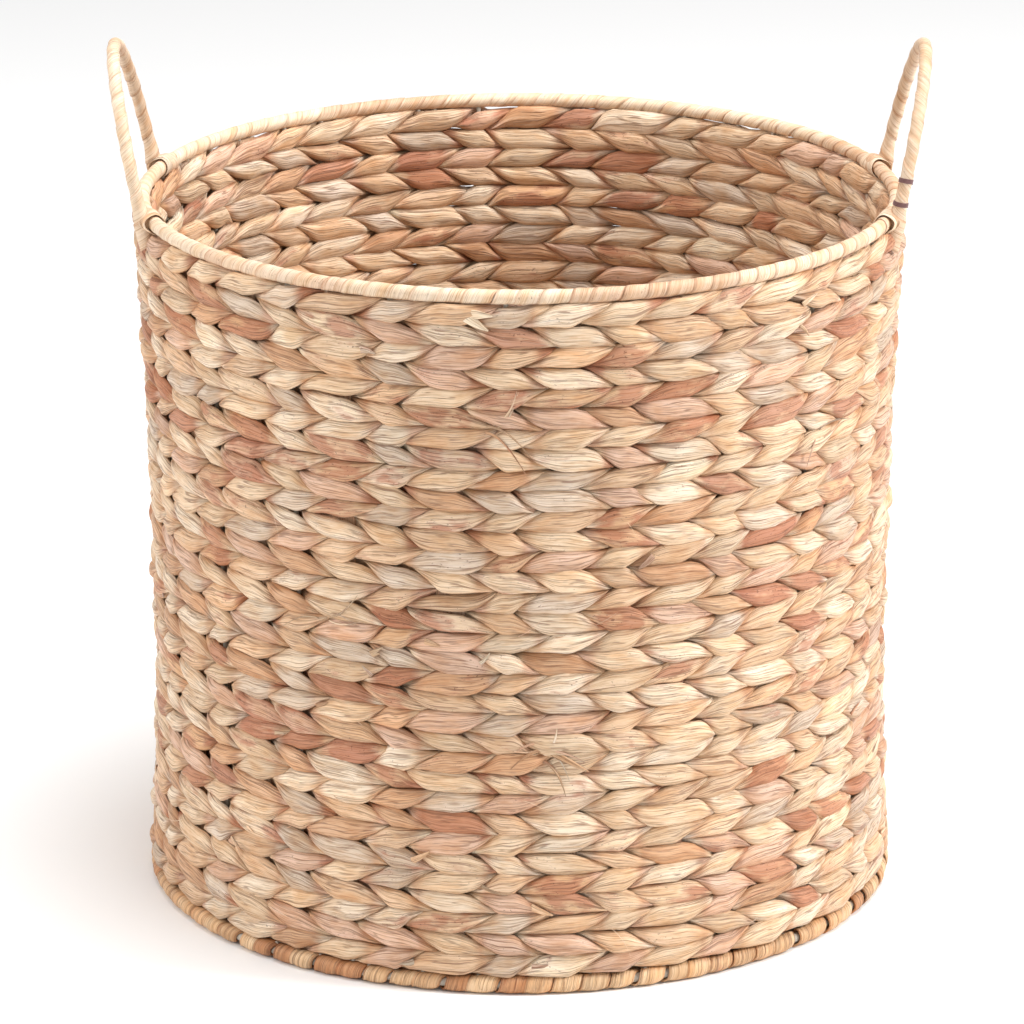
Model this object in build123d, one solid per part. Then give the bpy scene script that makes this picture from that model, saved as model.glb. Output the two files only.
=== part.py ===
from build123d import *
import math
import os

# A round laundry basket: twined water-hyacinth rows woven over a welded wire
# frame, with a leaf-wrapped rim and two rigid leaf-wrapped loop handles.
# Millimetres, +Z up. The origin is on the floor at the centre of the base.

# ---- driving sizes -------------------------------------------------------
rim_radius = 211.0            # centre line of the rim wire
rim_height = 397.7            # centre line of the rim wire above the floor
waist_radius = 202.4          # middle of the wall where it is narrowest
waist_height = 131.0
wall_top_inset = 0.6          # the wall's middle at the rim, inside the rim wire's line
wall_base_inset = 1.0         # the same at the base ring
wall_thickness = 15.0

rim_wire_diameter = 6.0
rim_leaf = 1.25               # thickness of the leaf strip wound round the rim
base_ring_radius = 208.0
base_wire_diameter = 5.0
border_leaf = 3.0             # thickness of the leaf loops round the base ring
foot_flat = 0.4               # how far the border's underside is pressed flat
upright_diameter = 2.6
upright_count = 21            # of each kind, thin and wide in turn
upright_start = 10.9          # degrees round from +X to the first thin one
wide_upright_width = 16.0     # leaf strip over a pair of wires
wide_wire_spacing = 10.0      # between the two wires under that strip
upright_leaf = 0.9            # thickness of that strip
upright_runs = 12             # straight runs that follow the curve of the wall
row_count = 33

handle_wire_diameter = 5.0
handle_leaf = 1.2             # thickness of the leaf strip round a handle
handle_half_span = 61.5       # from the handle's middle to the line of a leg
handle_rise = 86.0            # along the handle's slope, above the rim wire
handle_lean = 12.0            # degrees outwards from upright
handle_turn = 45.0            # degrees turned by each shoulder of the arch
foot_flare_diameter = 10.6    # leaf gathered round the foot of a handle
foot_flare_height = 14.0      # above the rim wire, along the leg
leg_straight = 8.0            # straight stretch of a leg above the rim wire
band_heights = (10.5, 23.5)   # thread bands round one foot, above the rim wire
band_width = 2.4
band_thickness = 0.7

spoke_diameter = 2.6
spoke_groups = 14             # long, middle and short spokes in each group
spoke_starts = (0.0, 75.0, 130.0)   # inner ends; 0 means at the hub ring
hub_radius = 18.0
base_row_count = 12
base_centre_radius = 26.0
base_strand = 4.8             # thickness of a strand in the base

clearance = 0.2               # between rows and what they are woven over
wrap_clearance = 0.05         # between a wire and the leaf wound round it
edge_flat = 1.2               # flat edge of a strand where rows meet

# ---- sizes that follow from them -----------------------------------------
rim_wrap_radius = rim_wire_diameter / 2 + rim_leaf
border_radius = base_wire_diameter / 2 + border_leaf
base_ring_height = border_radius - foot_flat
border_top = base_ring_height + border_radius
rows_bottom = border_top + clearance
rows_top = rim_height - rim_wrap_radius - clearance
row_pitch = (rows_top - rows_bottom) / row_count
upright_pitch = 360 / upright_count
wide_start = upright_start + upright_pitch / 2
wide_thickness = upright_diameter + 2 * upright_leaf
flat_strip_rise = wide_upright_width**2 / (8 * waist_radius)
half_gap = wide_thickness / 2 + flat_strip_rise + clearance

wall_top_radius = rim_radius - wall_top_inset
wall_base_radius = base_ring_radius - wall_base_inset
rise_above_waist = rim_height - waist_height
drop_below_waist = waist_height - base_ring_height
upper_bend = (rise_above_waist**2 / (wall_top_radius - waist_radius)
              + wall_top_radius - waist_radius) / 2
lower_bend = (drop_below_waist**2 / (wall_base_radius - waist_radius)
              + wall_base_radius - waist_radius) / 2

lean_sine = math.sin(math.radians(handle_lean))
lean_cosine = math.cos(math.radians(handle_lean))
leg_radius = rim_radius + (rim_wire_diameter + handle_wire_diameter) / 2 / lean_cosine
handle_offset = math.sqrt(leg_radius**2 - handle_half_span**2)
handle_wrap_radius = handle_wire_diameter / 2 + handle_leaf
leg_reach = (rim_wrap_radius - handle_wire_diameter / 2 * lean_sine) / lean_cosine
flare_base = rim_wire_diameter / 2

spoke_height = base_ring_height + (base_wire_diameter + spoke_diameter) / 2
base_rows_outer = wall_base_radius - wall_thickness / 2 - 2 * clearance
base_row_pitch = (base_rows_outer - base_centre_radius) / base_row_count


def wall_radius(height):
    """Radius of the middle of the wall: two arcs that meet upright at the waist."""
    away = height - waist_height
    bend = upper_bend if away > 0 else lower_bend
    return waist_radius + bend - math.sqrt(bend**2 - away**2)


def turned(section):
    """A ring made by turning an X-Y section, read as radius and height, round +Z."""
    return revolve(Plane.XZ * section, Axis.Z, 360)


def around(solid, count, start=0.0):
    """Copies of a solid evenly spaced round +Z, the first at start degrees."""
    return [Rot(0, 0, start + 360 * i / count) * solid for i in range(count)]


def along_wall(section, low, high):
    """Sweeps a section drawn at the waist up and down the wall between two heights."""
    start = Plane.XY.offset(waist_height) * Pos(waist_radius, 0) * section
    runs = []
    for bend, reach, sense in (
        (upper_bend, high - waist_height, 1),
        (lower_bend, waist_height - low, -1),
    ):
        hinge = Axis((waist_radius + bend, 0, waist_height), (0, sense, 0))
        runs.append(revolve(start, hinge, math.degrees(math.asin(reach / bend))))
    return runs[0] + runs[1]


# ---- rim and base ring ----------------------------------------------------
def rim_wire():
    return turned(Pos(rim_radius, rim_height) * Circle(rim_wire_diameter / 2))


def rim_wrap():
    """The strip round the rim, slit below for the uprights and cut round each leg."""
    slope = rise_above_waist / (upper_bend - wall_top_radius + waist_radius)
    slit = 2 * wall_top_inset + upright_diameter + 2 * rim_wrap_radius * slope + 2 * clearance
    section = Circle(rim_wrap_radius) - Circle(rim_wire_diameter / 2 + wrap_clearance)
    section -= Pos(0, -rim_wrap_radius) * Rectangle(slit, 2 * rim_wrap_radius)
    ring = turned(Pos(rim_radius, rim_height) * section)
    leg = Rot(-90, 0, 0) * Cylinder(handle_wire_diameter / 2 + clearance, 6 * rim_wrap_radius)
    for side in (1, -1):
        for foot in (-handle_half_span, handle_half_span):
            ring -= handle_plane(side).location * Pos(foot, 0) * leg
    return ring


def base_ring():
    return turned(Pos(base_ring_radius, base_ring_height) * Circle(base_wire_diameter / 2))


def base_border():
    """Leaf loops round the base ring, open above for the uprights and spokes."""
    section = Circle(border_radius) - Circle(base_wire_diameter / 2 + wrap_clearance)
    section -= Pos(0, -2 * border_radius + foot_flat) * Rectangle(
        3 * border_radius, 2 * border_radius
    )
    slit = 2 * wall_base_inset + upright_diameter + 4 * clearance
    section -= Pos(0, border_radius) * Rectangle(slit, 2 * border_radius)
    channel = base_wire_diameter / 2 - clearance
    section -= Pos(-border_radius, channel + border_radius) * Rectangle(
        2 * border_radius, 2 * border_radius
    )
    return turned(Pos(base_ring_radius, base_ring_height) * section)


# ---- uprights -------------------------------------------------------------
def trimmed_to_rings(upright):
    rim = turned(Pos(rim_radius, rim_height) * Circle(rim_wire_diameter / 2 + wrap_clearance))
    base = turned(
        Pos(base_ring_radius, base_ring_height) * Circle(base_wire_diameter / 2 + wrap_clearance)
    )
    return (upright - rim - base).solids().sort_by(SortBy.VOLUME)[-1]


def upright_sweep(diameter, offset):
    """A round bar that follows the wall in straight runs, offset sideways from a radius."""
    step = (rim_height - base_ring_height) / upright_runs
    heights = [base_ring_height + step * i for i in range(upright_runs + 1)]
    path = Polyline(*[(wall_radius(height), offset, height) for height in heights])
    return sweep(Plane(path @ 0, z_dir=path % 0) * Circle(diameter / 2), path)


def upright_wire(offset=0.0):
    return trimmed_to_rings(upright_sweep(upright_diameter, offset))


def plain_uprights():
    return around(upright_wire(), upright_count, upright_start)


def wide_upright_wires():
    pair = []
    for side in (-1, 1):
        wire = upright_wire(side * wide_wire_spacing / 2)
        pair += around(wire, upright_count, wide_start)
    return pair


def wide_upright_wraps():
    """A flat leaf strip folded round each pair of wires."""
    section = SlotOverall(wide_upright_width, wide_thickness, rotation=90)
    wrap = along_wall(section, rows_bottom, rows_top)
    for side in (-1, 1):
        wrap -= upright_sweep(upright_diameter + clearance, side * wide_wire_spacing / 2)
    return around(wrap.solid(), upright_count, wide_start)


# ---- woven rows -----------------------------------------------------------
def wall_row(number):
    """The outer and the inner strand of one row, either side of the uprights."""
    low = rows_bottom + (number - 1) * row_pitch
    high = low + row_pitch
    middle = (low + high) / 2
    strands = []
    for side in (1, -1):
        with BuildSketch() as section:
            with BuildLine():
                edge = [
                    (wall_radius(high) + side * (half_gap + edge_flat), high),
                    (wall_radius(high) + side * half_gap, high),
                    (wall_radius(low) + side * half_gap, low),
                    (wall_radius(low) + side * (half_gap + edge_flat), low),
                ]
                Polyline(*edge)
                crest = (wall_radius(middle) + side * wall_thickness / 2, middle)
                ThreePointArc(edge[-1], crest, edge[0])
            make_face()
        strands.append(turned(section.sketch))
    return strands


def base_row(number):
    """The lower and the upper strand of one ring of the base."""
    inner = base_centre_radius + (number - 1) * base_row_pitch
    outer = inner + base_row_pitch
    gap = spoke_diameter / 2 + clearance
    strands = []
    for side in (1, -1):
        near = spoke_height + side * gap
        crest = (inner + base_row_pitch / 2, near + side * base_strand)
        with BuildSketch() as section:
            with BuildLine():
                edge = [
                    (outer, near + side * edge_flat),
                    (outer, near),
                    (inner, near),
                    (inner, near + side * edge_flat),
                ]
                Polyline(*edge)
                ThreePointArc(edge[-1], crest, edge[0])
            make_face()
        strands.append(turned(section.sketch))
    return strands


def base_centre():
    """Two small rosettes that close the middle of the base, above and below the hub."""
    radius = base_centre_radius - clearance
    gap = spoke_diameter / 2 + clearance
    button = Pos(0, 0, base_strand / 2) * Cylinder(radius, base_strand)
    return [
        Pos(0, 0, spoke_height + gap) * button,
        Pos(0, 0, spoke_height - gap - base_strand) * button,
    ]


# ---- base frame -----------------------------------------------------------
def base_hub():
    return turned(Pos(hub_radius, spoke_height) * Circle(spoke_diameter / 2))


def base_spokes():
    """Wires on top of the base ring, each midway between two uprights."""
    spokes = []
    for turn, start in enumerate(spoke_starts):
        inner = start or hub_radius + spoke_diameter / 2
        length = base_ring_radius - inner
        rod = Pos(inner + length / 2, 0, spoke_height) * Rot(0, 90, 0) * Cylinder(
            spoke_diameter / 2, length
        )
        if not start:
            rod = (rod - turned(Pos(hub_radius, spoke_height) * Circle(spoke_diameter / 2))).solid()
        first = upright_start + upright_pitch * (turn / 2 + 1 / 4)
        spokes += around(rod, spoke_groups, first)
    return spokes


# ---- handles --------------------------------------------------------------
def handle_plane(side):
    """The sloping plane of one handle: local X runs along the rim, local Y up the slope."""
    up = Vector(side * lean_sine, 0, lean_cosine)
    along = Vector(0, 1, 0)
    return Plane(
        origin=(side * handle_offset, 0, rim_height), x_dir=along, z_dir=along.cross(up)
    )


def handle_path(side, low):
    """Centre line of one handle: legs that start at low, two shoulders and a crown."""
    turn = math.radians(handle_turn)
    ratio = 1 / math.tan(turn / 2)
    rise = handle_rise - leg_straight
    crown = (ratio * handle_half_span - rise) / (ratio - 1)
    shoulder = crown + (handle_half_span - crown) / (1 - math.cos(turn))

    def on_shoulder(angle, sense):
        across = handle_half_span - shoulder * (1 - math.cos(angle))
        return (sense * across, leg_straight + shoulder * math.sin(angle))

    line = Line((-handle_half_span, low), on_shoulder(0, -1))
    line += ThreePointArc(*(on_shoulder(turn * share, -1) for share in (0, 0.5, 1)))
    line += ThreePointArc(on_shoulder(turn, -1), (0, handle_rise), on_shoulder(turn, 1))
    line += ThreePointArc(*(on_shoulder(turn * share, 1) for share in (1, 0.5, 0)))
    line += Line(on_shoulder(0, 1), (handle_half_span, low))
    return handle_plane(side) * line


def handle_sweep(side, section, low):
    """Sweeps a section round one handle."""
    path = handle_path(side, low)
    start = Plane(origin=path @ 0, z_dir=path % 0)
    return sweep(start * section, path=path)


def handle_wire(side):
    return handle_sweep(side, Circle(handle_wire_diameter / 2), -leg_reach)


def flare_radius(height):
    """Radius of the leaf gathered round a foot, narrowing up to the plain wrap."""
    share = (height - flare_base) / (foot_flare_height - flare_base)
    foot = foot_flare_diameter / 2
    return foot + (handle_wrap_radius - foot) * min(share, 1)


def handle_wrap(side):
    """The strip wound round a handle, flared at each foot where it sits on the rim."""
    wrap = handle_sweep(side, Circle(handle_wrap_radius), flare_base)
    for foot in (-handle_half_span, handle_half_span):
        height = foot_flare_height - flare_base
        flare = Pos(foot, (foot_flare_height + flare_base) / 2) * Rot(-90, 0, 0) * Cone(
            foot_flare_diameter / 2, handle_wrap_radius, height
        )
        wrap += handle_plane(side).location * flare
    wrap -= handle_sweep(side, Circle(handle_wire_diameter / 2 + wrap_clearance), -leg_reach)
    wrap -= turned(Pos(rim_radius, rim_height) * Circle(rim_wrap_radius + wrap_clearance))
    return wrap.solids().sort_by(SortBy.VOLUME)[-1]


def foot_thread_bands():
    """Dark thread wound round the front foot of the right handle."""
    path = handle_path(1, 0)
    bands = []
    for height in band_heights:
        inner = flare_radius(height - band_width / 2) + wrap_clearance
        ring = Cylinder(inner + band_thickness, band_width) - Cylinder(inner, band_width)
        bands.append(path.location_at(height, PositionMode.LENGTH) * ring)
    return bands


# ---- one file for each piece ----------------------------------------------
def write(name, pieces):
    solids = [solid for piece in pieces for solid in piece.solids()]
    export_step(Compound(label=name, children=solids), f"parts/{name}.step")


os.makedirs("parts", exist_ok=True)
write("rim_wire", [rim_wire()])
write("rim_wrap", [rim_wrap()])
write("base_ring_wire", [base_ring()])
write("base_border", [base_border()])
write("plain_uprights", plain_uprights())
write("wide_upright_wires", wide_upright_wires())
write("wide_upright_wraps", wide_upright_wraps())
write("base_spokes", base_spokes())
write("base_hub_ring", [base_hub()])
write("base_centre", base_centre())
write("right_handle_wire", [handle_wire(1)])
write("left_handle_wire", [handle_wire(-1)])
write("right_handle_wrap", [handle_wrap(1)])
write("left_handle_wrap", [handle_wrap(-1)])
write("foot_thread_bands", foot_thread_bands())
for number in range(1, row_count + 1):
    write(f"wall_row_{number:02d}", wall_row(number))
for number in range(1, base_row_count + 1):
    write(f"base_row_{number:02d}", base_row(number))
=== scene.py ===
# %% [markdown]
# A round laundry basket, woven from dried water hyacinth on a welded wire frame.
# The imported model is the fixed frame: it says where each ring, row, upright and handle
# is. Everything made here is laid over those places. The box of the imported model is
# kept.

# %% The frame and the tools
import math

import bpy
import numpy as np
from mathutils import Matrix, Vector


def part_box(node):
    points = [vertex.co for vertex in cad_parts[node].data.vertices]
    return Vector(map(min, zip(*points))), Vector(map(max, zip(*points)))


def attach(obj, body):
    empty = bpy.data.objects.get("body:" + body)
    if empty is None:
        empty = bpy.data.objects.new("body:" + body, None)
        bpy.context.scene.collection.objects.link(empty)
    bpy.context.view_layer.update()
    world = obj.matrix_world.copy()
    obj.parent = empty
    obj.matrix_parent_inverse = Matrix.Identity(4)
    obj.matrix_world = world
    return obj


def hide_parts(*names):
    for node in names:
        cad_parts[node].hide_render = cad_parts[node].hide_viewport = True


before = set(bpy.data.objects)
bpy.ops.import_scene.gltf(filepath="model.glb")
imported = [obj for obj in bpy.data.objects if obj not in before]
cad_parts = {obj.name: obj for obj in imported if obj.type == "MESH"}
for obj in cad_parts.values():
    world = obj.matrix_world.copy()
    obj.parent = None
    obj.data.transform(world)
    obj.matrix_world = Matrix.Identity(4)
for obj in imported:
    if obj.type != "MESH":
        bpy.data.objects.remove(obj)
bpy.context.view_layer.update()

MM = 0.001
TURN = 2 * math.pi

# %% [markdown]
# The sizes that everything shares come from the frame's own boxes. A ring's box gives
# its radius and the thickness of its wire; each row's box gives its height and how far
# out it stands. What a box can't tell is written here: the number of uprights, where
# the first one stands and how thick the wall is.

# %% Sizes read from the frame


def ring_of(node):
    """Radius, height and wire radius of a ring, from its box."""
    low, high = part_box(node)
    wire = (high.z - low.z) / 2
    return high.x - wire, (high.z + low.z) / 2, wire


RIM_RADIUS, RIM_HEIGHT, RIM_WIRE = ring_of("rim_wire")
BASE_RADIUS, BASE_HEIGHT, BASE_WIRE = ring_of("base_ring_wire")
UPRIGHTS = 42                       # thin and wide in turn
FIRST_UPRIGHT = math.radians(10.9)  # a thin one
UPRIGHT_STEP = TURN / UPRIGHTS
WALL_THICKNESS = 15 * MM
WALL_ROWS = sorted(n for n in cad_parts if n.startswith("wall_row_"))
BASE_ROWS = sorted(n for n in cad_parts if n.startswith("base_row_"))
print(len(WALL_ROWS), "wall rows,", len(BASE_ROWS), "base rows")

# %% [markdown]
# Every soft piece here is a bent strip or strand, so its mesh is a grid of points: one
# direction runs along the strand, the other round its section. Numpy works out all the
# points at once, and one helper turns a stack of such grids into a mesh, with a UV map
# in metres along and across the leaf. The shader needs that to run its fibres the way
# the leaf grows. The UV grid has one more column than the points, so that the pattern
# has a clean seam where the section closes.

# %% From grids of points to a piece


def quads(rows, cols, wrap_rows, wrap_cols, caps):
    """Corner numbers of the faces over a grid; caps closes the two ends."""
    index = np.arange(rows * cols).reshape(rows, cols)
    if wrap_rows:
        index = np.concatenate([index, index[:1]])
    if wrap_cols:
        index = np.concatenate([index, index[:, :1]], axis=1)
    corners = [index[:-1, :-1], index[1:, :-1], index[1:, 1:], index[:-1, 1:]]
    faces = [np.stack(corners, -1).reshape(-1, 4)]
    if caps:
        half = (index.shape[1] - 1) // 2
        first = np.arange(half - 1)
        for ring in (index[0, :-1], index[-1, :-1][::-1]):
            last = 2 * half - 1 - first
            faces.append(np.stack([ring[first], ring[first + 1], ring[last - 1], ring[last]], -1))
    return np.concatenate(faces)


def piece_from_grids(name, grids, finish, replaced=()):
    """Joins grids into one piece. A grid is (points, uv, colour, wear, closed)."""
    points, faces, uvs, uv_faces, colours, stain_shade_shifts = [], [], [], [], [], []
    first = uv_first = 0
    for xyz, uv, colour, stain_shade_shift, closed in grids:
        rows, cols = xyz.shape[:2]
        faces.append(quads(rows, cols, closed, True, not closed) + first)
        uv_quads = quads(rows + closed, cols + 1, False, False, False)
        if not closed:
            flat_end = np.tile(np.arange(4), (2 * (cols // 2 - 1), 1))
            uv_quads = np.concatenate([uv_quads, flat_end])
        uv_faces.append(uv_quads + uv_first)
        points.append(xyz.reshape(-1, 3))
        uvs.append(uv.reshape(-1, 2))
        colours.append(np.broadcast_to(colour, xyz.shape).reshape(-1, 3))
        stain_shade_shifts.append(np.broadcast_to(stain_shade_shift, xyz.shape).reshape(-1, 3))
        first += rows * cols
        uv_first += uv.shape[0] * uv.shape[1]
    points, faces, uvs = np.concatenate(points), np.concatenate(faces), np.concatenate(uvs)
    mesh = bpy.data.meshes.new(name)
    mesh.vertices.add(len(points))
    mesh.vertices.foreach_set("co", points.astype(np.float32).ravel())
    mesh.loops.add(faces.size)
    mesh.loops.foreach_set("vertex_index", faces.astype(np.int32).ravel())
    mesh.polygons.add(len(faces))
    mesh.polygons.foreach_set("loop_start", np.arange(len(faces), dtype=np.int32) * 4)
    mesh.update(calc_edges=True)
    layer = mesh.uv_layers.new(name="leaf")
    corner_uvs = uvs[np.concatenate(uv_faces).ravel()]
    layer.data.foreach_set("uv", corner_uvs.astype(np.float32).ravel())
    for label, values in (("tint", colours), ("stain_shade_shift", stain_shade_shifts)):
        rgba = np.ones((len(points), 4), np.float32)
        rgba[:, :3] = np.concatenate(values)
        attribute = mesh.color_attributes.new(label, "FLOAT_COLOR", "POINT")
        attribute.data.foreach_set("color", rgba.ravel())
    mesh.shade_smooth()
    mesh.materials.append(finish)
    piece = bpy.data.objects.new(name, mesh)
    bpy.context.scene.collection.objects.link(piece)
    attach(piece, "root")
    if replaced:
        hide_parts(*replaced)
    return piece


# %% [markdown]
# A shader is a small calculation, so it reads best as one. This class wraps a node's
# output and lets it be used with + - * and abs like a number; each use adds a Math
# node. Other nodes come from one method of the finish they belong to.

# %% Shader sockets as numbers


class Signal:
    """A shader output that can be added, multiplied and so on."""

    def __init__(self, finish, socket):
        self.finish, self.socket = finish, socket

    def maths(self, operation, *terms, clamp=False):
        settings = {"operation": operation, "use_clamp": clamp}
        return self.finish.node("Math", settings, dict(enumerate(terms)))

    def __add__(self, other):
        return self.maths("ADD", self, other)

    def __sub__(self, other):
        return self.maths("SUBTRACT", self, other)

    def __rsub__(self, other):
        return self.maths("SUBTRACT", other, self)

    def __mul__(self, other):
        return self.maths("MULTIPLY", self, other)

    def __abs__(self):
        return self.maths("ABSOLUTE", self)

    __radd__, __rmul__ = __add__, __mul__

    def clamped(self):
        return self.maths("ADD", self, 0.0, clamp=True)

    def above(self, low, high):
        """0 below low, 1 above high, smooth between."""
        inputs = {"Value": self, "From Min": low, "From Max": high}
        return self.finish.node("MapRange", {"interpolation_type": "SMOOTHSTEP"}, inputs)

    def near(self, value, width):
        """1 at a value, 0 further from it than width: a thin line of a smooth noise."""
        return 1.0 - abs(self - value).above(width * 0.2, width)


class Finish:
    """One material, built from nodes."""

    def __init__(self, name):
        self.material = bpy.data.materials.new(name)
        self.material.use_nodes = True
        self.tree = self.material.node_tree
        self.tree.nodes.clear()

    def node(self, kind, settings=None, inputs=None, output=0):
        """Adds a node of a kind; its settings are made first, then its inputs."""
        made = self.tree.nodes.new("ShaderNode" + kind)
        for key, value in (settings or {}).items():
            if key == "stops":
                self.set_stops(made.color_ramp, value)
            else:
                setattr(made, key, value)
        for key, value in (inputs or {}).items():
            if isinstance(key, str):
                socket = next(
                    s for s in made.inputs if s.name == key and not s.is_unavailable
                )
            else:
                socket = made.inputs[key]
            if isinstance(value, Signal):
                self.tree.links.new(value.socket, socket)
            else:
                socket.default_value = value
        outputs = [s for s in made.outputs if not s.is_unavailable]
        return Signal(self, outputs[output]) if outputs else None

    @staticmethod
    def set_stops(ramp, stops):
        while len(ramp.elements) > 1:
            ramp.elements.remove(ramp.elements[-1])
        for i, (place, colour) in enumerate(stops):
            stop = ramp.elements[0] if i == 0 else ramp.elements.new(place)
            stop.position, stop.color = place, colour

    def mix(self, amount, one, other, blend="MIX"):
        """Blends two colours."""
        settings = {"data_type": "RGBA", "blend_type": blend, "clamp_factor": True}
        return self.node("Mix", settings, {"Factor": amount, "A": one, "B": other})

    def noise(self, vector, scale, detail=2.0, roughness=0.5):
        inputs = {"Vector": vector, "Scale": scale, "Detail": detail, "Roughness": roughness}
        return self.node("TexNoise", {}, inputs)

    def surface(self, colour, roughness, bump, strength, distance, **constants):
        """Ends the material: a Principled shader over a bump."""
        normal = self.node(
            "Bump", {}, {"Strength": strength, "Distance": distance, "Height": bump}
        )
        inputs = {"Base Color": colour, "Roughness": roughness, "Normal": normal}
        inputs.update({key.replace("_", " "): value for key, value in constants.items()})
        shader = self.node("BsdfPrincipled", {}, inputs)
        self.node("OutputMaterial", {}, {"Surface": shader})
        return self.material


def paint(red, green, blue):
    """A colour as it looks on screen, 0 to 255, turned into the shader's linear light."""
    def linear(value):
        value /= 255
        return value / 12.92 if value <= 0.04045 else ((value + 0.055) / 1.055) ** 2.4

    return tuple(linear(value) for value in (red, green, blue)) + (1.0,)


# %% [markdown]
# Dried water hyacinth is a flattened stalk. It is glossy only in long thin streaks,
# where the skin is smooth; between them run fine grooves, and here and there a dark
# vein, a brown stain or a cluster of specks. The finish is laid out in the leaf's own
# coordinates, along and across, so the fibres follow every bend and gather at the
# ends. The colour of each stalk comes with the mesh, in "tint"; a second colour
# attribute carries how stained it is, how deep it lies in the weave, and a number that
# shifts the pattern. The depth is painted shade: the colour is darkened where a strand
# lies deep between the others.

# %% Finish of the hyacinth leaf


def leaf_finish(name, fibre_depth, veins, blotches, gloss):
    finish = Finish(name)
    uv = finish.node("UVMap", {"uv_map": "leaf"})
    tint = finish.node("VertexColor", {"layer_name": "tint"})
    stain_shade_shift = finish.node("VertexColor", {"layer_name": "stain_shade_shift"})
    stain = finish.node("SeparateColor", {}, {"Color": stain_shade_shift}, output=0)
    # The second value is how deep the strand lies in the weave; below it is used as painted shade.
    depth = finish.node("SeparateColor", {}, {"Color": stain_shade_shift}, output=1)
    shift = finish.node("SeparateColor", {}, {"Color": stain_shade_shift}, output=2)
    along = finish.node("SeparateXYZ", {}, {"Vector": uv}, output=0)
    across = finish.node("SeparateXYZ", {}, {"Vector": uv}, output=1)

    def leaf_noise(along_scale, across_scale, layer, detail=2.0, roughness=0.5):
        parts = {
            "X": along * along_scale,
            "Y": across * across_scale,
            "Z": shift * 40 + layer,
        }
        place = finish.node("CombineXYZ", {}, parts)
        return finish.noise(place, 1.0, detail, roughness)

    fibre = leaf_noise(60, 2100, 0.0, 3.0, 0.6)
    groove = leaf_noise(20, 560, 3.0, 1.0)
    vein = leaf_noise(14, 420, 7.0, 1.0)
    cloud = leaf_noise(45, 120, 11.0, 3.0, 0.6)
    speck = leaf_noise(500, 900, 17.0)

    thin_vein = vein.near(0.5, 0.030) * cloud.above(0.40, 0.55)
    fine_vein = groove.near(0.54, 0.034) * (1.0 - cloud.above(0.52, 0.62))
    dark_line = (thin_vein + fine_vein * 0.7).clamped()
    blotch = (cloud + stain * 0.42).above(0.70, 0.92)
    specks = speck.above(0.64, 0.70) * (cloud + stain * 0.3).above(0.56, 0.70)

    streaks = finish.node("ValToRGB", {"stops": (
        (0.28, paint(190, 164, 142)), (0.50, paint(250, 244, 236)), (0.70, paint(255, 255, 255)),
    )}, {"Fac": fibre})
    clouds = finish.node("ValToRGB", {"stops": (
        (0.30, paint(236, 214, 190)), (0.50, paint(252, 246, 238)), (0.66, paint(255, 255, 255)),
    )}, {"Fac": cloud})
    fibres = finish.mix(1.0, finish.mix(1.0, tint, streaks, "MULTIPLY"), clouds, "MULTIPLY")
    stained = finish.mix(blotch * blotches, fibres, paint(170, 96, 58))
    veined = finish.mix(dark_line * veins, stained, paint(112, 70, 44))
    specked = finish.mix(specks * 0.6, veined, paint(98, 58, 38))
    # Painted shade: by that depth the colour is blended toward itself multiplied by a warm brown,
    # darkening strands that lie deep in the weave.
    dark = finish.mix(1.0, specked, paint(206, 150, 112), "MULTIPLY")
    colour_with_painted_shade = finish.mix(depth, specked, dark)
    roughness = (0.66 - fibre * gloss + stain * 0.1).clamped()
    height = fibre * 0.40 + groove * 0.9 - dark_line * 0.55
    return finish.surface(colour_with_painted_shade, roughness, height, 0.9, fibre_depth, Specular_IOR_Level=0.40)


hyacinth = leaf_finish("hyacinth_leaf", 0.60 * MM, 0.62, 0.72, 0.34)
rim_leaf = leaf_finish("rim_leaf", 0.18 * MM, 0.14, 0.16, 0.24)
upright_leaf = leaf_finish("upright_leaf", 0.35 * MM, 0.45, 0.50, 0.20)
print("leaf finishes:", hyacinth.name, rim_leaf.name, upright_leaf.name)

# %% [markdown]
# The wires are painted a pale grey before weaving, so that they hardly show in the
# gaps. The paint is thin and satin, with a little unevenness and small grubby marks.

# %% Finish of the wires and of the thread


def plain_finish(name, colour, worn_colour, scale, roughness, depth, **constants):
    """A finish of one colour with soft marks of another, for wires and thread."""
    finish = Finish(name)
    place = finish.node("TexCoord", {}, {}, output=3)
    marks = finish.noise(place, scale, 3.0, 0.6)
    grain = finish.noise(place, scale * 6, 2.0)
    worn = finish.mix(marks.above(0.52, 0.68) * 0.7, colour, worn_colour)
    rough = (marks * 0.2 + roughness).clamped()
    return finish.surface(worn, rough, grain, 0.4, depth, **constants)


wire_paint = plain_finish(
    "wire_paint", paint(186, 178, 164), paint(150, 136, 118), 140.0, 0.34, 0.05 * MM,
    Specular_IOR_Level=0.5,
)
thread_finish = plain_finish(
    "dark_thread", paint(112, 78, 76), paint(84, 54, 52), 900.0, 0.75, 0.08 * MM,
    Sheen_Weight=0.2,
)
WIRE_NODES = [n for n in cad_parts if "wire" in n or n in (
    "plain_uprights", "base_spokes", "base_hub_ring")]
for node in WIRE_NODES:
    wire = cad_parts[node]
    wire.data.materials.clear()
    wire.data.materials.append(wire_paint)
print("painted wires:", ", ".join(sorted(WIRE_NODES)))

# %% [markdown]
# No two stalks dry to the same colour. Most are straw or cream, many are tan, some
# pinkish or grey, and a few keep a strong red-brown. Each visible length of strand
# draws its colour from this list, with the share that each colour has in the weave.

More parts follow.
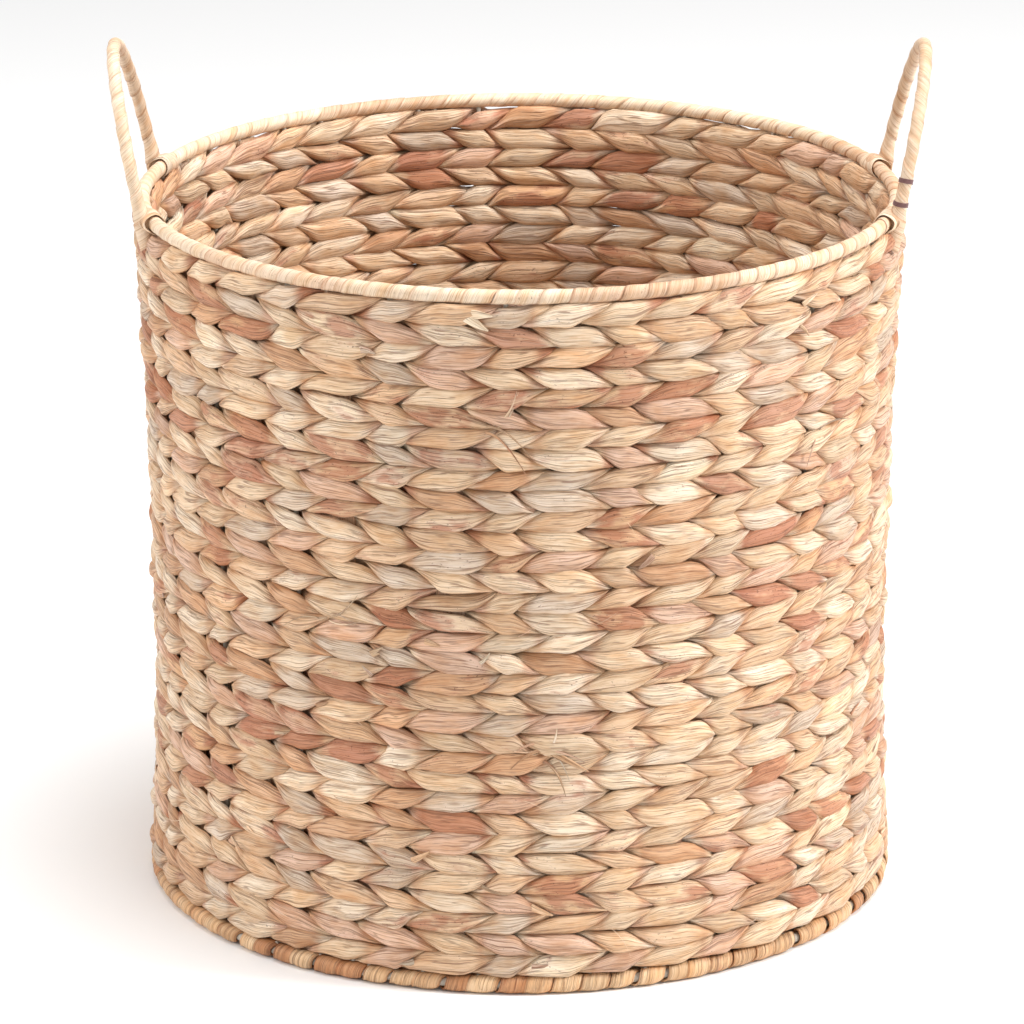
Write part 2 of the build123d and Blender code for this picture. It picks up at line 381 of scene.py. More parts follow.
# %% The colours of the stalks
STALKS = (
    # share, colour
    (0.26, paint(234, 212, 186)),  # straw
    (0.20, paint(242, 227, 208)),  # cream
    (0.22, paint(228, 199, 170)),  # tan
    (0.13, paint(224, 193, 174)),  # pinkish
    (0.11, paint(218, 203, 188)),  # grey
    (0.06, paint(216, 178, 146)),  # deep tan
    (0.02, paint(190, 138, 110)),  # red-brown
)
RIM_STALKS = (
    (0.62, paint(239, 224, 205)),
    (0.28, paint(233, 213, 192)),
    (0.10, paint(226, 199, 175)),
)


def draw_colours(rng, shape, stalks=STALKS):
    """Random stalk colours, each a little lighter or darker than its kind."""
    shares = np.array([share for share, _ in stalks])
    colours = np.array([colour[:3] for _, colour in stalks])
    kind = rng.choice(len(stalks), size=shape, p=shares / shares.sum())
    light = rng.normal(1.0, 0.06, size=(*shape, 1))
    return np.clip(colours[kind] * light, 0.01, 0.95)


def spread(values, phase, sharpness=2.2):
    """Takes one value for each pass to every station, easing over where strands cross."""
    low = np.floor(phase).astype(int)
    ease = np.clip((phase - low - 0.5) * sharpness + 0.5, 0, 1)
    ease = ease * ease * (3 - 2 * ease)
    ease = ease.reshape(-1, *[1] * (values.ndim - 1))
    count = len(values)
    return values[low % count] * (1 - ease) + values[(low + 1) % count] * ease


# %% [markdown]
# The weave is pair twining. Two strands travel round together; at each upright one
# passes outside and the other inside, and between uprights they change places, one
# beside the other. Seen from outside each pass is a leaf shape. It keeps its width over
# the upright and then runs out to a slanting point, which lies over the start of the
# next pass. The slant turns the other way in every other row, so the rows pair up into
# chevrons. A simulation of so many soft strands was left aside: the path and the section
# are given by smooth curves of one phase, which counts the passes round the row. The
# outer and the inner face of a strand have a width and a sideways shift each: where
# the outer face runs out to its point, the inner one is already opening.

# %% One pair of twined strands
SECTION = 24
ROUND = np.arange(SECTION) * TURN / SECTION
FACE = np.cos(ROUND)                                     # across the strand, -1 to 1
BULGE = np.sin(ROUND) * np.abs(np.sin(ROUND)) ** 0.1     # out of its face
OUTER = 0.5 + 0.5 * np.sin(ROUND)                        # 1 on the outer face
CREASES = ((2.3, 0.42 * MM), (4.1, 0.34 * MM), (7.3, 0.16 * MM))        # how many, how deep
PASS_LENGTH = 33 * MM                                    # of leaf, for its pattern
STRAND_GIRTH = 34 * MM                                   # of leaf, for its pattern

# How far a face stands out, from over an upright (0) to behind the next one (1).
DEPTH_PLACES = (0.0, 0.3, 0.5, 0.65, 0.8, 1.0)
DEPTH_SHARES = (1.0, 0.94, 0.80, 0.62, 0.22, -0.2)


def leaf_width(place, full, point):
    """Width of a pass, 1 in its middle. place is 0 over the upright, 0.5 at a crossing."""
    return 1 - np.clip((np.abs(place) - full) / (point - full), 0, 1) ** 1.35


def from_middle(phase):
    """Place along the pass whose middle is at the nearest even phase, -1 to 1."""
    return (phase + 1) % 2 - 1


def strand_grid(rng, passes, strand, station, phase, angle, slant, shape, place):
    """One strand of a pair, as a grid."""
    top, edge, least, lag = shape
    count = len(station)

    def each(values, sharpness=2.2):
        return spread(values, phase, sharpness)

    full = each(rng.normal(0.07, 0.04, passes))
    point = each(rng.normal(0.86, 0.05, passes))
    size = each(rng.normal(1.0, 0.08, passes))
    proud = each(rng.normal(1.0, 0.08, passes))
    wander = each(rng.normal(0.0, 0.5 * MM, passes))
    cant = each(rng.normal(0.0, 0.07, passes))
    faces = []
    for turn, sense in ((strand, slant), (strand + 1, -slant)):
        middle = from_middle(phase + turn)
        half = edge * size * (least + (1 - least) * leaf_width(middle, full, point))
        away = sense * np.tanh(middle * 6) * (edge - half / size)
        late = np.abs(from_middle(phase + turn - lag))
        surface = np.interp(late, DEPTH_PLACES, DEPTH_SHARES) * top * proud
        faces.append((half, away, surface))
    (half_out, side_out, surface_out), (half_in, side_in, surface_in) = faces
    swing = np.cos(math.pi * (phase + strand))
    outward = 0.5 + (OUTER[None, :] - 0.5) * 2.2 + 0.6 * swing[:, None]
    outward = np.clip(outward, 0, 1)
    half = half_in[:, None] * (1 - outward) + half_out[:, None] * outward
    side = side_in[:, None] * (1 - outward) + side_out[:, None] * outward
    middle_out = (surface_out - surface_in) / 2
    half_bulge = (surface_out + surface_in) / 2
    phases = each(rng.uniform(0, TURN, (passes, len(CREASES))))
    crease = np.zeros((count, SECTION))
    for k, (times, deep) in enumerate(CREASES):
        wave = times * math.pi * FACE[None, :] / 2 + phases[:, k : k + 1]
        crease -= deep * (1 - np.abs(np.sin(wave)) ** 0.5)
    crease *= (1 - FACE[None, :] ** 4) * np.sign(BULGE)[None, :]
    across = half * FACE[None, :]
    bulge = half_bulge[:, None] * BULGE[None, :] + crease + cant[:, None] * across
    xyz = place(angle[:, None], middle_out[:, None] + bulge, side + across + wander[:, None])
    uv = np.empty((count + 1, SECTION + 1, 2))
    uv[..., 0] = (np.append(station, passes) * PASS_LENGTH)[:, None]
    uv[..., 1] = (np.arange(SECTION + 1) / SECTION * STRAND_GIRTH)[None, :]
    colour = each(draw_colours(rng, (passes,)), 4.0)[:, None, :]
    stained = each(np.clip(rng.normal(-0.1, 0.6, passes), 0, 1))
    shift = np.full(count, rng.uniform(0, 1))
    # Painted shade: a strand is darkened where the pair crosses between uprights, where it lies
    # deep in the weave.
    deep = (1 - np.clip(np.abs(swing) * 1.8, 0, 1)) ** 1.5 * 0.35
    stain_shade_shift = np.stack([stained, deep, shift], -1)[:, None, :]
    return xyz, uv, colour, stain_shade_shift, True


def twined_pair(rng, passes, steps, start, slant, squeeze, shape, place):
    """Both strands of a row, as grids. place(angle, out, side) gives points in space."""
    station = np.arange(passes * steps) / steps
    gap = np.floor(station).astype(int)
    share = station - gap
    toward = np.where(gap % 2 == 0, 1.0, -1.0)
    late = rng.normal(rng.normal(0.0, 0.05), 0.085, passes)[gap % passes]
    phase = gap + share + (toward * squeeze + late) * np.sin(math.pi * share)
    angle = start + station * TURN / passes
    return [
        strand_grid(rng, passes, strand, station, phase, angle, slant, shape, place)
        for strand in (0, 1)
    ]


# %% [markdown]
# The wall has one pair in each row. The middle of the wall leans out above and below
# the waist, so each row reads its own radius from its node's box, and leans with its
# neighbours. The thin and the wide uprights take turns, and a petal over a wide one is
# longer, so the crossing sits nearer to the thin one.

# %% The wall, row by row
PASS_STEPS = 16
row_heights, row_radii = [], []
for node in WALL_ROWS:
    low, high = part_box(node)
    row_heights.append((low.z + high.z) / 2)
    row_radii.append(high.x - WALL_THICKNESS / 2)
ROW_PITCH = row_heights[1] - row_heights[0]
row_leans = np.gradient(row_radii, row_heights)


def wall_place(radius, height, lean):
    def place(angle, out, side):
        reach = radius + out + lean * side
        high = np.broadcast_to(height + side - lean * out, reach.shape)
        return np.stack([reach * np.cos(angle), reach * np.sin(angle), high], -1)

    return place


# A shape is half the depth and half the width of a pass over an upright, the share of
# that width left at its points, and how late its inner face follows. Half of 1.11
# pitches makes the strands of neighbouring rows press into each other a little.
LEAST_WIDTH = 0.05
INNER_LAG = 0.05
THIN_SQUEEZE = 0.09                 # crossings sit nearer the thin upright by this share
WALL_SHAPE = (7.3 * MM, ROW_PITCH * 0.555, LEAST_WIDTH, INNER_LAG)
for number, node in enumerate(WALL_ROWS):
    rng = np.random.default_rng(1000 + number)
    slant = 1 if number % 2 == 0 else -1
    place = wall_place(row_radii[number], row_heights[number], row_leans[number])
    grids = twined_pair(
        rng, UPRIGHTS, PASS_STEPS, FIRST_UPRIGHT, slant, THIN_SQUEEZE, WALL_SHAPE, place
    )
    piece_from_grids(f"twined_{node}", grids, hyacinth, [node])
print("wall woven,", UPRIGHTS * PASS_STEPS * SECTION * 2, "points a row")

# %% [markdown]
# The base is woven the same way, but lying down: the strands pass above and below the
# spokes. More spokes join further out, so the number of passes steps up from 14 to 28
# and 42.

# %% The base
SPOKE_STARTS = (75 * MM, 130 * MM)
SPOKES = 14
BASE_DEPTH = 5.5 * MM
BASE_STEPS = 18
BASE_START = FIRST_UPRIGHT + UPRIGHT_STEP / 2


def base_place(radius, height):
    def place(angle, out, side):
        reach = radius + side
        shape = np.broadcast_shapes(reach.shape, out.shape)
        reach, high = np.broadcast_to(reach, shape), np.broadcast_to(height + out, shape)
        return np.stack([reach * np.cos(angle), reach * np.sin(angle), high], -1)

    return place


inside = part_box("base_centre")[1].x
for number, node in enumerate(BASE_ROWS):
    low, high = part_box(node)
    radius, height = (high.x + inside) / 2, (low.z + high.z) / 2
    passes = SPOKES * (1 + sum(radius > start for start in SPOKE_STARTS))
    shape = (BASE_DEPTH, (high.x - inside) * 0.55, LEAST_WIDTH, INNER_LAG)
    rng = np.random.default_rng(2000 + number)
    slant = 1 if number % 2 == 0 else -1
    place = base_place(radius, height)
    grids = twined_pair(rng, passes, BASE_STEPS, BASE_START, slant, 0.0, shape, place)
    piece_from_grids(f"twined_{node}", grids, hyacinth, [node])
    inside = high.x
print("base woven")

# %% [markdown]
# The rim and the handles are bound with a leaf strip, wound so that each turn laps
# over the one before. Round a wire the strip is a helix, but a maker moves on mostly
# on the hidden inner side, so outside the seams stand steeper. The strip is a thin grid
# with a top and an underside. Its trailing edge rides up over the last turn, its middle
# puffs out a little, and each turn sits slightly off its even place.

# %% A leaf strip wound round a path
ACROSS = np.concatenate([np.linspace(-0.5, 0.5, 9), np.linspace(0.5, -0.5, 9)])
ON_TOP = np.repeat([1.0, 0.0], 9)


def ring_line(radius, height):
    """A path round +Z: turns lengths along it into points and two directions."""
    def line(length):
        angle = length / radius
        out = np.stack([np.cos(angle), np.sin(angle), 0 * angle], -1)
        up = np.broadcast_to([0.0, 0.0, 1.0], out.shape)
        return out * radius + up * height, out, up

    return line


# A strip is its thickness, how far it laps over the last turn, how much its middle
# puffs out, how unevenly its turns sit, and how much of its advance is on the inside.
RIM_STRIP = (0.45 * MM, 0.34, 0.40 * MM, 1.5 * MM, 0.35)
HANDLE_STRIP = (0.55 * MM, 0.30, 0.28 * MM, 1.3 * MM, 0.30)
BORDER_STRIP = (1.1 * MM, 0.03, 1.35 * MM, 1.5 * MM, 0.60)
STRIP_STEPS = 24                    # points round one turn


def wound_strip(rng, line, turns, pitch, core, strip, colours, closed):
    """A strip wound round a line. core gives the radius under it at each length."""
    thickness, lap, puff, jitter, inside_share = strip
    turn = np.arange(turns * STRIP_STEPS + (not closed)) / STRIP_STEPS
    moved = turn - inside_share * np.sin(TURN * turn) / TURN
    drift = spread(rng.normal(0, jitter, turns), turn, 1.0)
    lump = spread(rng.normal(0, 0.16, turns), turn, 1.0) * puff
    width = pitch * (1 + lap) * spread(rng.normal(1, 0.06, turns), turn, 1.0)
    length = (moved * pitch + drift)[:, None] + width[:, None] * ACROSS[None, :]
    ride = np.clip(1 - (ACROSS + 0.5) / (1.6 * max(lap, 0.05)), 0, 1)
    ride = ride * ride * (3 - 2 * ride)
    radius = core(length) + thickness * (ON_TOP + (ride if lap > 0 else 0))[None, :]
    radius = radius + (puff * np.cos(math.pi * ACROSS) ** 0.6)[None, :] + lump[:, None]
    angle = (TURN * turn)[:, None]
    centre, out, up = line(length)
    xyz = centre + out * (radius * np.cos(angle))[..., None]
    xyz = xyz + up * (radius * np.sin(angle))[..., None]
    around = TURN * float(np.mean(radius))
    uv = np.empty((turns * STRIP_STEPS + 1, len(ACROSS) + 1, 2))
    uv[..., 0] = (np.arange(turns * STRIP_STEPS + 1) / STRIP_STEPS * around)[:, None]
    uv[..., 1] = (np.append(ACROSS, ACROSS[0]) * pitch * (1 + lap))[None, :]
    colour = spread(colours, turn, 8.0)[:, None, :]
    stain = spread(np.clip(rng.normal(-0.3, 0.5, turns), 0, 1), turn)
    # Painted shade: the second value is 0.35 at both edges of each turn, darkening the seams where
    # one turn laps over the next.
    edge = (1 - np.clip((0.5 - np.abs(ACROSS)) / 0.10, 0, 1))[None, :] * np.ones_like(angle)
    stain_shade_shift = np.stack(
        [stain[:, None] + 0 * edge, 0.35 * edge, 0 * edge + rng.uniform(0, 1)], -1
    )
    return xyz, uv, colour, stain_shade_shift, closed


def leaf_lengths(rng, turns, stalks, longest=12):
    """One colour for each turn: a leaf lasts several turns before the next joins it."""
    colours = []
    while len(colours) < turns:
        colours += [draw_colours(rng, (1,), stalks)[0]] * int(rng.integers(5, longest))
    return np.array(colours[:turns]) * rng.normal(1.0, 0.025, (turns, 1))


rng = np.random.default_rng(31)
RIM_TURNS = 98
rim_pitch = TURN * RIM_RADIUS / RIM_TURNS
rim_strip = wound_strip(
    rng, ring_line(RIM_RADIUS, RIM_HEIGHT), RIM_TURNS, rim_pitch,
    lambda length: RIM_WIRE + 0.1 * MM + 0 * length,
    RIM_STRIP, leaf_lengths(rng, RIM_TURNS, RIM_STALKS), True,
)
piece_from_grids("rim_wound_leaf", [rim_strip], rim_leaf, ["rim_wrap"])
print("rim:", RIM_TURNS, "turns,", round(rim_pitch / MM, 1), "mm apart")

# %% [markdown]
# Each handle is a stiff wire arch, welded to the outside of the rim and bound like it.
# Its shape comes from the box of its wire: straight legs, a wide bend at each shoulder
# and a tighter one over the crown, in a plane that leans out by twelve degrees. Near
# its foot the leaf is gathered over the weld, so the core under the strip grows there.

# %% The handles
HANDLE_WIRE = 2.5 * MM
LEAN = math.radians(12)
LEG_STRAIGHT = 8 * MM
SHOULDER_TURN = math.radians(45)
BELOW_RIM = 3 * MM
HANDLE_TURNS = 18


def handle_shape(side):
    """Lengths along a handle with its points and directions, at one side (1 or -1)."""
    low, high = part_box("right_handle_wire" if side > 0 else "left_handle_wire")
    half_span = high.y - HANDLE_WIRE
    rise = (high.z - HANDLE_WIRE - RIM_HEIGHT) / math.cos(LEAN)
    foot = max(high.x, -low.x) - HANDLE_WIRE - rise * math.sin(LEAN)
    spare = (rise - LEG_STRAIGHT - half_span) / (
        1 + math.tan(SHOULDER_TURN) - 1 / math.cos(SHOULDER_TURN)
    )
    shoulder = half_span + spare
    crown_height = LEG_STRAIGHT + spare * math.tan(SHOULDER_TURN)
    crown = shoulder - spare / math.cos(SHOULDER_TURN)
    bend = np.linspace(0, SHOULDER_TURN, 40)[1:]
    over = np.linspace(SHOULDER_TURN, math.pi / 2, 40)[1:]
    across = np.concatenate([
        [half_span, half_span], shoulder * np.cos(bend) - spare, crown * np.cos(over)])
    height = np.concatenate([
        [-BELOW_RIM, LEG_STRAIGHT], LEG_STRAIGHT + shoulder * np.sin(bend),
        crown_height + crown * np.sin(over)])
    across = np.concatenate([across, -across[-2::-1]])
    height = np.concatenate([height, height[-2::-1]])
    length = np.concatenate([[0], np.cumsum(np.hypot(np.diff(across), np.diff(height)))])
    heading = np.unwrap(np.arctan2(np.gradient(height, length), np.gradient(across, length)))
    up = np.array([side * math.sin(LEAN), 0, math.cos(LEAN)])
    flat = np.array([side * math.cos(LEAN), 0, -math.sin(LEAN)])
    origin = np.array([side * foot, 0, RIM_HEIGHT])

    def line(place):
        inside = np.clip(place, 0, length[-1])
        y = np.interp(inside, length, across)
        z = np.interp(inside, length, height) + np.minimum(place, 0)
        z = z + np.minimum(length[-1] - place, 0)
        turn = np.interp(inside, length, heading)
        point = origin + y[..., None] * np.array([0, 1.0, 0]) + z[..., None] * up
        normal = -np.sin(turn)[..., None] * np.array([0, 1.0, 0]) + np.cos(turn)[..., None] * up
        return point, np.broadcast_to(flat, point.shape), normal

    return line, length[-1]


def foot_core(total):
    """The radius under the strip: the wire, and a gathered foot at both ends."""
    def core(place):
        above = np.minimum(place, total - place) - BELOW_RIM
        gather = np.clip(1 - above / (15 * MM), 0, 1) ** 1.6
        return HANDLE_WIRE + 0.1 * MM + 1.7 * MM * gather

    return core


for side, label in ((1, "right"), (-1, "left")):
    rng = np.random.default_rng(41 + side)
    line, total = handle_shape(side)
    strip = wound_strip(
        rng, line, HANDLE_TURNS, total / (HANDLE_TURNS - 0.4), foot_core(total),
        HANDLE_STRIP, leaf_lengths(rng, HANDLE_TURNS, RIM_STALKS), False,
    )
    piece_from_grids(
        f"{label}_handle_wound_leaf", [strip], rim_leaf, [f"{label}_handle_wrap"]
    )
    print(label, "handle:", round(total / MM), "mm long,", HANDLE_TURNS, "turns")

# %% [markdown]
# A plain strand or strip laid along a line of points serves for everything else: the
# bindings at the feet of the handles, the thread, the leaf over the wide uprights, the
# coil in the middle of the base, and the loose ends.

# %% A strip laid along points
SMALL = 14
SMALL_ROUND = np.arange(SMALL) * TURN / SMALL


def unit(vectors):
    return vectors / np.linalg.norm(vectors, axis=-1, keepdims=True)


def laid_strip(points, out, half_width, half_thickness, colour, stain_shade_shift, closed=False):
    """A flattened strand through the points; out is the way its broad face looks."""
    points = np.asarray(points, float)
    if closed:
        ahead = np.roll(points, -1, axis=0) - np.roll(points, 1, axis=0)
    else:
        ahead = np.gradient(points, axis=0)
    out = np.broadcast_to(out, points.shape)
    across = unit(np.cross(unit(ahead), out))
    face = unit(np.cross(across, ahead))
    half_width = np.broadcast_to(half_width, len(points))[:, None, None]
    half_thickness = np.broadcast_to(half_thickness, len(points))[:, None, None]
    wave, bulge = np.cos(SMALL_ROUND)[None, :, None], np.sin(SMALL_ROUND)[None, :, None]
    xyz = points[:, None] + across[:, None] * wave * half_width
    xyz = xyz + face[:, None] * bulge * half_thickness
    gaps = np.linalg.norm(np.diff(points, axis=0), axis=1)
    run = np.concatenate([[0], np.cumsum(gaps)])
    if closed:
        run = np.append(run, run[-1] + np.linalg.norm(points[0] - points[-1]))
    uv = np.empty((len(run), SMALL + 1, 2))
    uv[..., 0] = run[:, None]
    uv[..., 1] = (np.arange(SMALL + 1) / SMALL * 4 * float(half_width.max()))[None, :]
    return xyz, uv, np.asarray(colour)[..., :3], np.asarray(stain_shade_shift, float), closed


# %% [markdown]
# At each foot of a handle the binding strip goes round the rim and the leg together,
# four times, crossing from one side of the leg to the other.

# %% Bindings at the feet of the handles
rim_line = ring_line(RIM_RADIUS, RIM_HEIGHT)
# Where each turn sits beside the leg and how far it slants over it, in millimetres.
BINDING_TURNS = ((-8.0, 5.5), (-3.2, 3.0), (3.2, -3.0), (8.0, -5.5))
for side, label in ((1, "right"), (-1, "left")):
    rng = np.random.default_rng(51 + side)
    line, total = handle_shape(side)
    bindings = []
    for end in (0.0, total):
        foot, _, _ = line(np.array([end]))
        middle = math.atan2(foot[0, 1], foot[0, 0])
        for place, lean in BINDING_TURNS:
            sweep = np.linspace(0, TURN, 40, endpoint=False)
            shift = (place + lean * (0.5 + 0.5 * np.sin(sweep)) + rng.normal(0, 0.4)) * MM
            centre, out, up = rim_line(middle * RIM_RADIUS + shift)
            near = 1 - min(abs(place), 8.0) / 14
            reach_out = (4.75 + 4.9 * near * (np.cos(sweep) > 0) * np.cos(sweep)) * MM
            reach_up = (4.7 + 1.6 * near * (np.sin(sweep) > 0) * np.sin(sweep)) * MM
            ring = centre + out * (np.cos(sweep) * reach_out)[:, None]
            ring = ring + up * (np.sin(sweep) * reach_up)[:, None]
            face = unit(out * np.cos(sweep)[:, None] + up * np.sin(sweep)[:, None])
            colour = draw_colours(rng, (1,), RIM_STALKS)[0]
            # The second of the three values after the colour, 0.1, is a little painted shade over
            # the whole strip.
            bindings.append(
                laid_strip(ring, face, 4.4 * MM, 0.42 * MM, colour, (0.1, 0.1, rng.uniform()), True)
            )
    piece_from_grids(f"{label}_handle_foot_bindings", bindings, rim_leaf)

# %% [markdown]
# Two bands of dark thread hold the leaf at one foot only. Each is four turns of a
# thick thread, laid side by side.

# %% Thread bands
thread_low, thread_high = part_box("foot_thread_bands")
line, total = handle_shape(1)
front = (thread_low.y + thread_high.y) < 0
threads = []
BAND_TURNS = 4
BAND_HEIGHTS = (10.5 * MM, 23.5 * MM)
for height in BAND_HEIGHTS:
    place = height + BELOW_RIM
    turn = np.linspace(0, BAND_TURNS, BAND_TURNS * 20 + 1)
    along = place + (turn - BAND_TURNS / 2) * 0.62 * MM
    if front:
        along = total - along
    centre, flat, normal = line(along)
    radius = (foot_core(total)(along) + 1.25 * MM)[:, None]
    angle = (turn * TURN)[:, None]
    out = flat * np.cos(angle) + normal * np.sin(angle)
    threads.append(
        laid_strip(centre + out * radius, out, 0.34 * MM, 0.30 * MM, (0.2, 0.1, 0.1), (0, 0, 0))
    )
piece_from_grids("foot_thread_coils", threads, thread_finish, ["foot_thread_bands"])

# %% [markdown]
# Round the base ring the ends of the weave are turned under and bound with short leaf
# loops, each a puffed band with its own colour. Their undersides are pressed flat where
# the basket stands.

# %% The border round the base
rng = np.random.default_rng(61)
LOOPS = 87
BORDER_STALKS = (
    (0.50, paint(236, 206, 170)),
    (0.38, paint(226, 190, 152)),
    (0.12, paint(206, 158, 120)),
)
loop_pitch = TURN * BASE_RADIUS / LOOPS
xyz, uv, colour, stain_shade_shift, closed = wound_strip(
    rng, ring_line(BASE_RADIUS, BASE_HEIGHT), LOOPS, loop_pitch,
    lambda length: BASE_WIRE + 0.15 * MM + 0 * length,
    BORDER_STRIP, draw_colours(rng, (LOOPS,), BORDER_STALKS), True,
)
xyz[..., 2] = np.maximum(xyz[..., 2], 0.1 * MM)
piece_from_grids(
    "base_border_loops", [(xyz, uv, colour, stain_shade_shift, closed)], hyacinth, ["base_border"]
)
print("border:", LOOPS, "loops,", round(loop_pitch / MM, 1), "mm apart")

# %% [markdown]
# Each wide upright is a pair of wires under a folded leaf. Only small windows of it show
# between the petals, with its fibres upright.

# %% Leaf over the wide uprights
low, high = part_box("wide_upright_wraps")
wide_strips = []
for number in range(UPRIGHTS // 2):
    rng = np.random.default_rng(700 + number)
    angle = FIRST_UPRIGHT + UPRIGHT_STEP * (2 * number + 1)
    height = np.linspace(low.z, high.z, 60)
    radius = np.interp(height, row_heights, row_radii)
    out = np.array([math.cos(angle), math.sin(angle), 0])
    points = out * radius[:, None] + np.array([0, 0, 1.0]) * height[:, None]
    wave = np.interp(height, np.linspace(low.z, high.z, 12), rng.normal(1, 0.05, 12))
    # The leaf's colour is darkened to 0.72, and the second of the three values after it, 0.35, is
    # painted shade over the whole strip, as for a strand deep in the weave.
    wide_strips.append(
        laid_strip(points, out, 7.8 * MM * wave, 2.3 * MM, draw_colours(rng, (1,))[0] * 0.72,
                   (0.2, 0.35, rng.uniform()))
    )
piece_from_grids(
    "wide_upright_leaf", wide_strips, upright_leaf, ["wide_upright_wraps"]
)

# %% [markdown]
# The middle of the base is closed by a strand coiled from the centre out, above the
# spokes and below them.

# %% The middle of the base
low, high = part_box("base_centre")
coils = []
for face, height in ((1, high.z - 2.3 * MM), (-1, low.z + 2.3 * MM)):
    rng = np.random.default_rng(81 + face)
    turn = np.linspace(0.15, 3.35, 130)
    reach = (2.0 + 6.6 * turn) * MM
    angle = face * turn * TURN
    bob = 0.35 * MM * np.sin(turn * 41)
    points = np.stack([reach * np.cos(angle), reach * np.sin(angle), height + bob], -1)
    # The coil's colour is darkened to 0.85, and the second of the three values given with it below,
    # 0.1, is a little painted shade over it.
    tint = draw_colours(rng, (1,), RIM_STALKS)[0] * 0.85
    width = 3.7 * MM * (1 + 0.08 * np.sin(turn * 23))
    coils.append(laid_strip(points, (0, 0, face), width, 2.2 * MM, tint, (0.3, 0.1, 0.4)))
piece_from_grids("base_centre_coil", coils, hyacinth, ["base_centre"])

# %% [markdown]
# A basket like this is never quite tidy. Hairs of leaf stand off the wall, cut ends
# stick out where one stalk gave way to the next, and a few knots and torn tufts show.

# %% Loose ends


def wall_point(angle, height, lift):
    """A point over the outer face of the wall, with the directions out, round and up."""
    out = np.array([math.cos(angle), math.sin(angle), 0.0])
    round_ = np.array([-math.sin(angle), math.cos(angle), 0.0])
    radius = float(np.interp(height, row_heights, row_radii))
    return out * (radius + lift) + np.array([0, 0, height]), out, round_


def loose_end(rng, angle, height, length, half_width, outward, colour, bend=0.5):
    """A tapering end that starts under the weave's face and stands off it."""
    start, out, round_ = wall_point(angle, height, WALL_THICKNESS / 2 - 2.2 * MM)
    heading = rng.uniform(-0.7, 0.7) + (math.pi if rng.uniform() < 0.35 else 0)
    run = round_ * math.cos(heading) + np.array([0, 0, 1.0]) * math.sin(heading)
    side = np.cross(out, run)
    step = np.linspace(0, 1, 12)[:, None]
    curl = rng.normal(0, bend)
    points = start + run * step * length + side * curl * step**2 * length * 0.5
    points = points + out * (outward * (1.25 * step - 0.55 * step**2) * length)
    taper = half_width * (1 - 0.85 * step[:, 0] ** 2)
    stain_shade_shift = (rng.uniform(0, 0.6), 0.0, rng.uniform())
    return laid_strip(points, out, taper, taper * 0.22 + 0.04 * MM, colour, stain_shade_shift)


rng = np.random.default_rng(91)
hairs, ends = [], []
top_of_wall = row_heights[-1]
for _ in range(150):
    place = rng.uniform(0, TURN), rng.uniform(0.02, 0.99) * top_of_wall
    colour = draw_colours(rng, (1,))[0]
    hairs.append(loose_end(rng, *place, rng.uniform(7, 20) * MM, 0.16 * MM, 0.28, colour, 1.2))
for _ in range(64):
    row = int(rng.integers(0, len(WALL_ROWS)))
    gap = int(rng.integers(0, UPRIGHTS))
    angle = FIRST_UPRIGHT + (gap + 0.5 + rng.normal(0, 0.12)) * UPRIGHT_STEP
    colour = draw_colours(rng, (1,))[0] * rng.uniform(0.55, 1.05)
    size = rng.uniform(7, 15) * MM, rng.uniform(0.9, 2.1) * MM
    ends.append(loose_end(rng, angle, row_heights[row], *size, 0.18, colour))
# Torn tufts: degrees round the wall, millimetres up it, and how many ends each has.
TUFTS = ((-86, 142, 9), (-94.4, 324, 5), (-40, 300, 4), (-120, 210, 4))
for angle, height, count in TUFTS:
    for _ in range(count):
        spot = math.radians(angle + rng.normal(0, 0.7)), (height + rng.normal(0, 2.5)) * MM
        colour = draw_colours(rng, (1,))[0] * rng.uniform(0.6, 1.05)
        size = rng.uniform(12, 24) * MM, rng.uniform(0.4, 1.2) * MM
        ends.append(loose_end(rng, *spot, *size, 0.22, colour, 1.4))
white_end = paint(250, 240, 222)
for _ in range(2):
    ends.append(
        loose_end(rng, math.radians(-97.8), 388 * MM, 15 * MM, 3.0 * MM, 0.10, white_end, 0.2)
    )
piece_from_grids("loose_hairs", hairs, rim_leaf)
piece_from_grids("loose_ends", ends, hyacinth)
print(len(hairs), "hairs and", len(ends), "cut ends")

# %% [markdown]
# The set is a plain white floor and soft light. The key comes from the right and high,
# so the right side is brightest and the far inside wall is in warm shade. The Standard
# view shows the leaf colours as they were mixed.

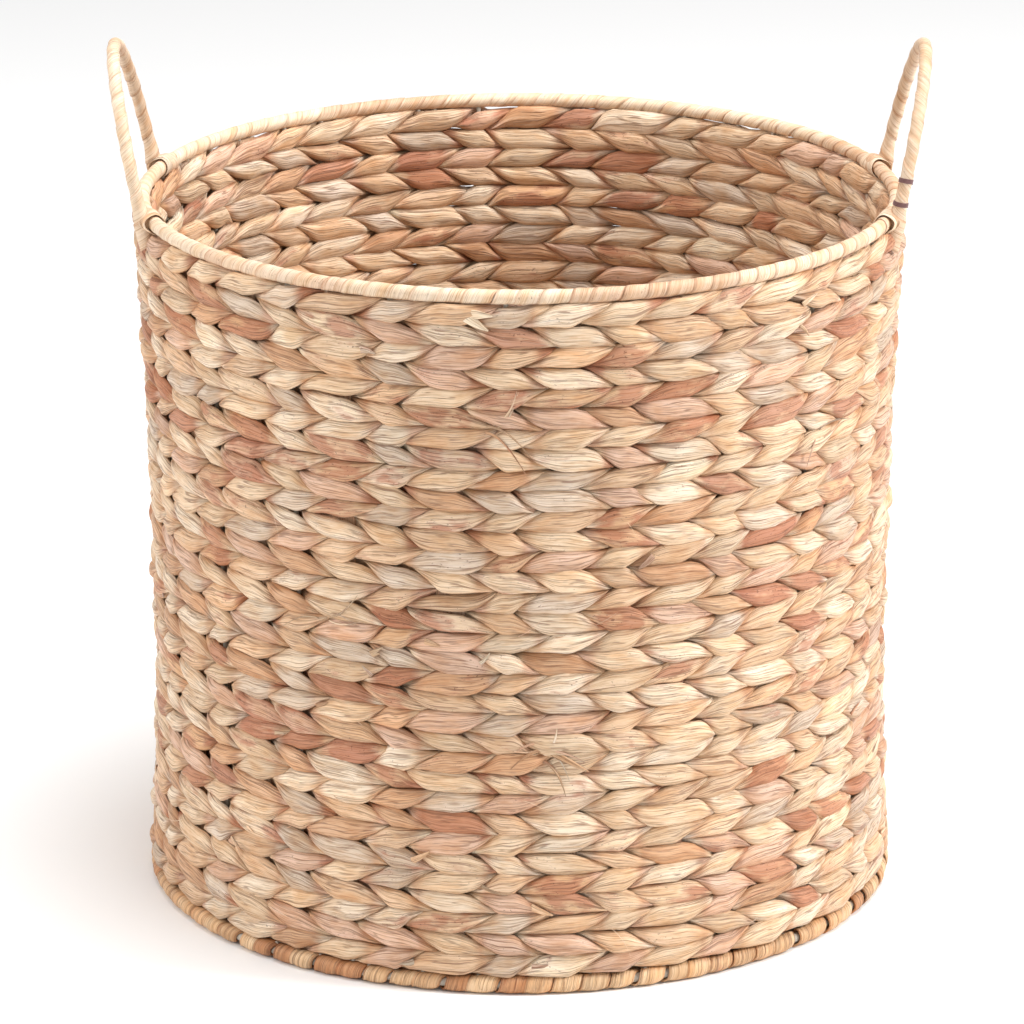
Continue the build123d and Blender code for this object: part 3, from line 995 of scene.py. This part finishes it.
# %% Camera, light and floor
LENS = 219.1                        # long, so the rings are nearly true ellipses
SIDE_SHIFT = -0.0073
DISTANCE = 16 * RIM_RADIUS
EYE_HEIGHT = 6.204 * RIM_RADIUS
LOOKING_DOWN = math.radians(18.04)
camera_data = bpy.data.cameras.new("camera")
camera_data.sensor_width = 36
camera_data.lens = LENS
camera_data.shift_x = SIDE_SHIFT
camera = bpy.data.objects.new("camera", camera_data)
bpy.context.scene.collection.objects.link(camera)
camera.location = (0, -DISTANCE, EYE_HEIGHT)
camera.rotation_euler = (math.pi / 2 - LOOKING_DOWN, 0, 0)
camera_data.clip_end = 100
bpy.context.scene.camera = camera
bpy.context.scene.view_settings.view_transform = "Standard"


def soft_light(name, place, size, watts, colour):
    data = bpy.data.lights.new(name, "AREA")
    data.shape, data.size, data.energy, data.color = "DISK", size, watts, colour
    light = bpy.data.objects.new(name, data)
    bpy.context.scene.collection.objects.link(light)
    light.location = place
    aim = Vector((0, 0, RIM_HEIGHT / 2)) - Vector(place)
    light.rotation_euler = aim.to_track_quat("-Z", "Y").to_euler()


soft_light("key", (2.4, -0.45, 1.8), 0.8, 70, (1.0, 0.99, 0.98))
soft_light("fill", (-2.4, -0.5, 1.4), 1.4, 28, (1.0, 0.97, 0.94))
soft_light("top", (0.2, -0.2, 2.4), 1.2, 40, (1.0, 1.0, 1.0))

world = bpy.data.worlds.new("studio")
world.use_nodes = True
world.node_tree.nodes["Background"].inputs["Color"].default_value = (1, 1, 1, 1)
world.node_tree.nodes["Background"].inputs["Strength"].default_value = 0.60
bpy.context.scene.world = world

floor_mesh = bpy.data.meshes.new("floor")
reach = 14.0
floor_mesh.from_pydata(
    [(-reach, -reach, 0), (reach, -reach, 0), (reach, reach, 0), (-reach, reach, 0)],
    [],
    [(0, 1, 2, 3)],
)
floor = bpy.data.objects.new("floor", floor_mesh)
bpy.context.scene.collection.objects.link(floor)
paper = Finish("studio_paper")
grain = paper.noise(paper.node("TexCoord", {}, {}, output=3), 300.0)
floor_mesh.materials.append(
    paper.surface((0.92, 0.92, 0.92, 1), 0.9, grain, 0.02, 0.1 * MM, Specular_IOR_Level=0.1)
)
